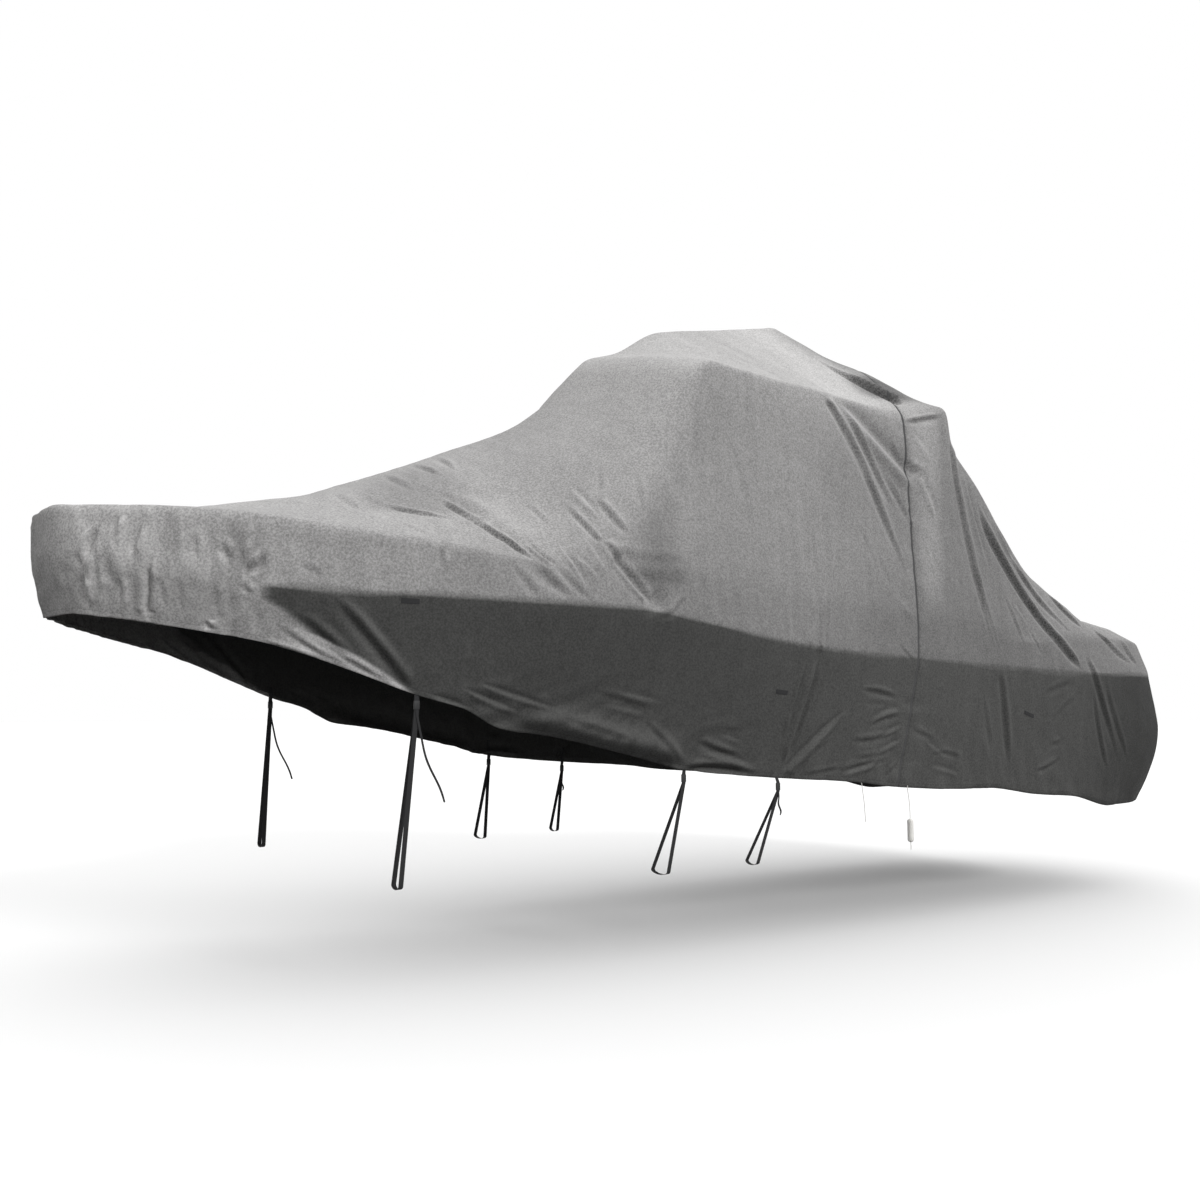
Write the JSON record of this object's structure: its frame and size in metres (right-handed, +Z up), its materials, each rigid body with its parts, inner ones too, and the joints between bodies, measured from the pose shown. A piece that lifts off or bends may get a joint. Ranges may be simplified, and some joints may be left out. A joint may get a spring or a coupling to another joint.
{
  "type": "boat cover",
  "caption": "Fitted grey cloth cover for a boat with a hardtop, with a taped cross seam, webbing tabs, strap loops with keepers and white cord ties at the hem.",
  "frame": {"origin": "under the roof's ridge line, on the centre plane, where what is covered holds the cloth up", "axes": "+X aft, towards the stern; -Y to port; +Z up"},
  "size_m": [7.933, 2.5183, 3.6108],
  "materials": {
    "cover_cloth": "woven coated polyester, matt grey",
    "black_webbing": "flat woven webbing",
    "seam_tape": "sewn woven tape",
    "white_cord": "twisted white cord",
    "keeper_plastic": "moulded, matt"
  },
  "bodies": {
    "root": {"front_panel": "cover_cloth", "aft_panel": "cover_cloth", "seam_tape": "seam_tape", "strap_port_1": "black_webbing", "strap_port_2": "black_webbing", "strap_port_3": "black_webbing", "strap_starboard_1": "black_webbing", "strap_starboard_2": "black_webbing", "strap_starboard_3": "black_webbing", "tab_port_1": "black_webbing", "tab_port_2": "black_webbing", "tab_port_3": "black_webbing", "tab_starboard_1": "black_webbing", "tab_starboard_2": "black_webbing", "tab_starboard_3": "black_webbing", "tail_port_1": "black_webbing", "tail_port_3": "black_webbing", "tail_starboard_1": "black_webbing", "tail_starboard_3": "black_webbing", "keeper_port_1": "keeper_plastic", "keeper_port_2": "keeper_plastic", "keeper_port_3": "keeper_plastic", "keeper_starboard_1": "keeper_plastic", "keeper_starboard_2": "keeper_plastic", "keeper_starboard_3": "keeper_plastic", "white_tie_1": "white_cord", "white_tie_2": "white_cord", "tie_winding": "white_cord", "tie_free_end": "white_cord"}
  },
  "joints": []
}
